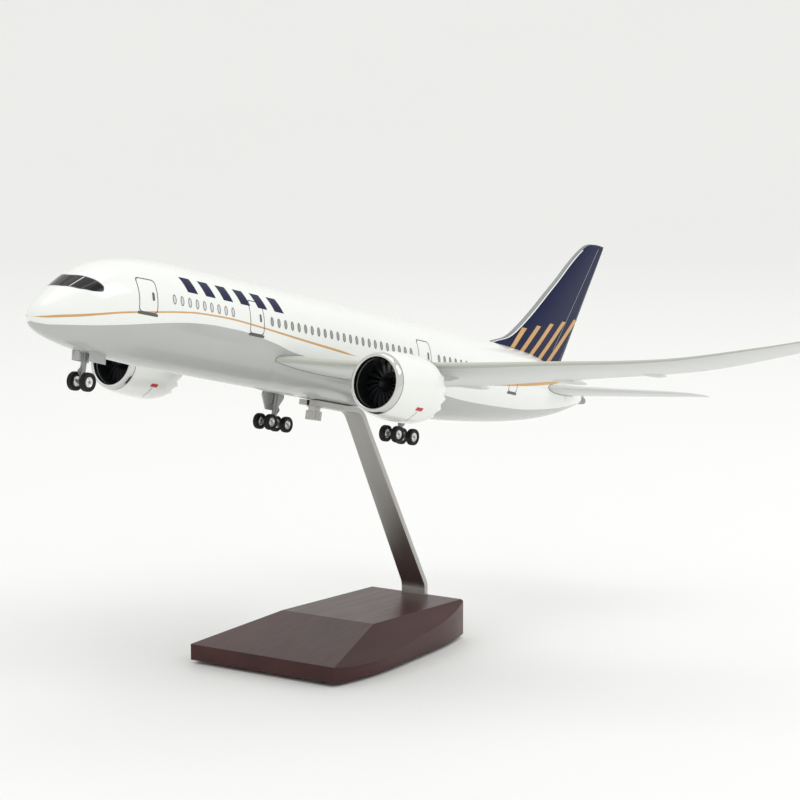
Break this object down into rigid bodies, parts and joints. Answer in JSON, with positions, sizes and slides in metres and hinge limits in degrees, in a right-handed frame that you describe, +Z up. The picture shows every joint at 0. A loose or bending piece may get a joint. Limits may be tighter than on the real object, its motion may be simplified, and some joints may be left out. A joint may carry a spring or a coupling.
{
  "type": "desktop airliner model",
  "caption": "Desk model of a twin-engine airliner with undercarriage down, held by a thumbscrew on a bent metal strut with a varnished wooden base.",
  "frame": {"origin": "middle of the underside of the base, level with the table", "axes": "+X towards the tail, +Y towards the starboard wing tip, +Z up"},
  "size_m": [0.4433, 0.4624, 0.1962],
  "materials": {
    "wood": "satin varnish, dark cherry",
    "pad": "matt",
    "strut_metal": "brushed",
    "screw_steel": "satin",
    "thumbscrew_steel": "knurled, satin nickel",
    "brass": "machined",
    "inner_plastic": "unpainted",
    "spar_steel": "plain",
    "fuselage_paint": "gloss white over light grey",
    "belly_paint": "gloss light grey",
    "tail_cone_metal": "satin grey",
    "wing_paint": "gloss light grey",
    "tailplane_paint": "gloss light grey",
    "fin_paint": "gloss navy",
    "nacelle_paint": "gloss white",
    "lip_chrome": "polished",
    "fan_metal": "satin dark grey",
    "exhaust_metal": "satin grey",
    "pylon_paint": "gloss light grey",
    "tyre_rubber": "matt black",
    "hub_metal": "bright",
    "gear_door_paint": "satin grey",
    "gear_metal": "satin grey"
  },
  "bodies": {
    "stand": {"base_block": "wood", "base_pad": "pad", "strut": "strut_metal", "strut_screws": "screw_steel"},
    "nose_wheel_port": {"nose_wheel_port_hub": "hub_metal", "nose_wheel_port_tyre": "tyre_rubber"},
    "main_wheel_port_front_inner": {"main_wheel_port_front_inner_hub": "hub_metal", "main_wheel_port_front_inner_tyre": "tyre_rubber"},
    "main_wheel_port_front_outer": {"main_wheel_port_front_outer_hub": "hub_metal", "main_wheel_port_front_outer_tyre": "tyre_rubber"},
    "main_wheel_port_rear_inner": {"main_wheel_port_rear_inner_hub": "hub_metal", "main_wheel_port_rear_inner_tyre": "tyre_rubber"},
    "main_wheel_port_rear_outer": {"main_wheel_port_rear_outer_hub": "hub_metal", "main_wheel_port_rear_outer_tyre": "tyre_rubber"},
    "nose_wheel_starboard": {"nose_wheel_starboard_hub": "hub_metal", "nose_wheel_starboard_tyre": "tyre_rubber"},
    "main_wheel_starboard_front_inner": {"main_wheel_starboard_front_inner_hub": "hub_metal", "main_wheel_starboard_front_inner_tyre": "tyre_rubber"},
    "main_wheel_starboard_front_outer": {"main_wheel_starboard_front_outer_hub": "hub_metal", "main_wheel_starboard_front_outer_tyre": "tyre_rubber"},
    "main_wheel_starboard_rear_inner": {"main_wheel_starboard_rear_inner_hub": "hub_metal", "main_wheel_starboard_rear_inner_tyre": "tyre_rubber"},
    "main_wheel_starboard_rear_outer": {"main_wheel_starboard_rear_outer_hub": "hub_metal", "main_wheel_starboard_rear_outer_tyre": "tyre_rubber"},
    "fan_port": {"fan_port": "fan_metal"},
    "fan_starboard": {"fan_starboard": "fan_metal"},
    "screw_carrier": {"thumbscrew_washer": "thumbscrew_steel"},
    "thumbscrew": {"thumbscrew": "thumbscrew_steel"},
    "aircraft": {"core_cowl_port": "exhaust_metal", "core_cowl_starboard": "exhaust_metal", "fin": "fin_paint", "flap_fairings_port": "wing_paint", "flap_fairings_starboard": "wing_paint", "fuselage_port": "fuselage_paint", "fuselage_starboard": "fuselage_paint", "inlet_lip_port": "lip_chrome", "inlet_lip_starboard": "lip_chrome", "main_gear_door_port": "gear_door_paint", "main_gear_door_starboard": "gear_door_paint", "main_gear_leg_port": "gear_metal", "main_gear_leg_starboard": "gear_metal", "main_gear_truck_port": "gear_metal", "main_gear_truck_starboard": "gear_metal", "mounting_block": "inner_plastic", "nacelle_port": "nacelle_paint", "nacelle_starboard": "nacelle_paint", "nose_gear_doors": "gear_door_paint", "nose_gear_leg": "gear_metal", "pylon_port": "pylon_paint", "pylon_starboard": "pylon_paint", "tail_cone": "tail_cone_metal", "tailplane_port": "tailplane_paint", "tailplane_starboard": "tailplane_paint", "threaded_insert": "brass", "wing_body_fairing": "belly_paint", "wing_port": "wing_paint", "wing_spar": "spar_steel", "wing_starboard": "wing_paint"}
  },
  "joints": [
    {"name": "aircraft_swivel", "type": "hinge", "parent": "stand", "child": "aircraft", "pos_m": [-0.0191, 0, 0.12277], "axis": [0.2079, 0, 0.9781], "range_deg": [-30, 30]},
    {"name": "screw_travel", "type": "slide", "parent": "aircraft", "child": "screw_carrier", "axis": [-0.2079, 0, -0.9781], "range_m": [0, 0.005]},
    {"name": "screw_turn", "type": "hinge", "parent": "screw_carrier", "child": "thumbscrew", "pos_m": [-0.02028, 0, 0.11719], "axis": [0.2079, 0, 0.9781], "range_deg": [-2600, 2600]},
    {"name": "nose_wheel_port_spin", "type": "hinge", "parent": "aircraft", "child": "nose_wheel_port", "pos_m": [-0.17716, -0.00352, 0.14629], "axis": [0, 1, 0], "continuous": true},
    {"name": "main_wheel_port_front_inner_spin", "type": "hinge", "parent": "aircraft", "child": "main_wheel_port_front_inner", "pos_m": [-0.01017, -0.03416, 0.10907], "axis": [0, 1, 0], "continuous": true},
    {"name": "main_wheel_port_front_outer_spin", "type": "hinge", "parent": "aircraft", "child": "main_wheel_port_front_outer", "pos_m": [-0.01017, -0.04076, 0.10907], "axis": [0, 1, 0], "continuous": true},
    {"name": "main_wheel_port_rear_inner_spin", "type": "hinge", "parent": "aircraft", "child": "main_wheel_port_rear_inner", "pos_m": [0.00186, -0.03416, 0.10651], "axis": [0, 1, 0], "continuous": true},
    {"name": "main_wheel_port_rear_outer_spin", "type": "hinge", "parent": "aircraft", "child": "main_wheel_port_rear_outer", "pos_m": [0.00186, -0.04076, 0.10651], "axis": [0, 1, 0], "continuous": true},
    {"name": "nose_wheel_starboard_spin", "type": "hinge", "parent": "aircraft", "child": "nose_wheel_starboard", "pos_m": [-0.17716, 0.00352, 0.14629], "axis": [0, 1, 0], "continuous": true},
    {"name": "main_wheel_starboard_front_inner_spin", "type": "hinge", "parent": "aircraft", "child": "main_wheel_starboard_front_inner", "pos_m": [-0.01017, 0.03416, 0.10907], "axis": [0, 1, 0], "continuous": true},
    {"name": "main_wheel_starboard_front_outer_spin", "type": "hinge", "parent": "aircraft", "child": "main_wheel_starboard_front_outer", "pos_m": [-0.01017, 0.04076, 0.10907], "axis": [0, 1, 0], "continuous": true},
    {"name": "main_wheel_starboard_rear_inner_spin", "type": "hinge", "parent": "aircraft", "child": "main_wheel_starboard_rear_inner", "pos_m": [0.00186, 0.03416, 0.10651], "axis": [0, 1, 0], "continuous": true},
    {"name": "main_wheel_starboard_rear_outer_spin", "type": "hinge", "parent": "aircraft", "child": "main_wheel_starboard_rear_outer", "pos_m": [0.00186, 0.04076, 0.10651], "axis": [0, 1, 0], "continuous": true},
    {"name": "fan_port_spin", "type": "hinge", "parent": "aircraft", "child": "fan_port", "pos_m": [-0.06688, -0.07615, 0.13976], "axis": [0.9781, 0, -0.2079], "continuous": true},
    {"name": "fan_starboard_spin", "type": "hinge", "parent": "aircraft", "child": "fan_starboard", "pos_m": [-0.06688, 0.07615, 0.13976], "axis": [0.9781, 0, -0.2079], "continuous": true}
  ],
  "couplings": [
    {"joint": "screw_turn", "follows": "screw_travel", "rad_per_m": -8976}
  ]
}
